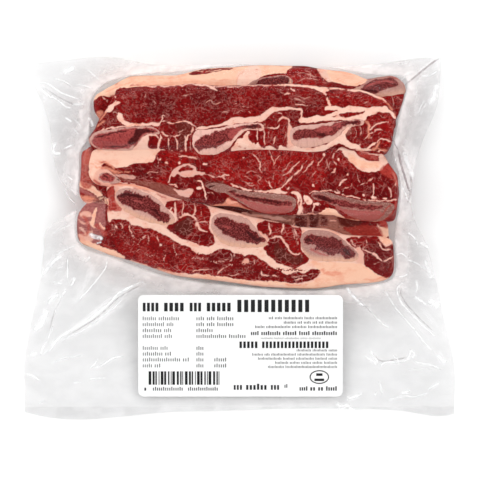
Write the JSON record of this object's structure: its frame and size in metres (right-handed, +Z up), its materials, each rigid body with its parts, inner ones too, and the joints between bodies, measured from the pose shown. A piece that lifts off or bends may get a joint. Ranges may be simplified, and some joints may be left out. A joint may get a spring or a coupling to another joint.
{
  "type": "vacuum pack of beef short ribs",
  "caption": "Clear vacuum pouch of flanken-cut raw beef short rib slices, overlapped in a low stack, with a plain sealed border and a white paper label.",
  "frame": {"origin": "under the middle of the pouch's box, on the surface it lies on", "axes": "+X along the pouch's width, +Y towards the meat end of the pouch, +Z up through its thickness"},
  "size_m": [0.3014, 0.2534, 0.0319],
  "materials": {
    "pouch": "clear glossy film drawn tight over raw red meat",
    "label": "satin white"
  },
  "bodies": {
    "root": {"pouch": "pouch", "label": "label"}
  },
  "joints": []
}
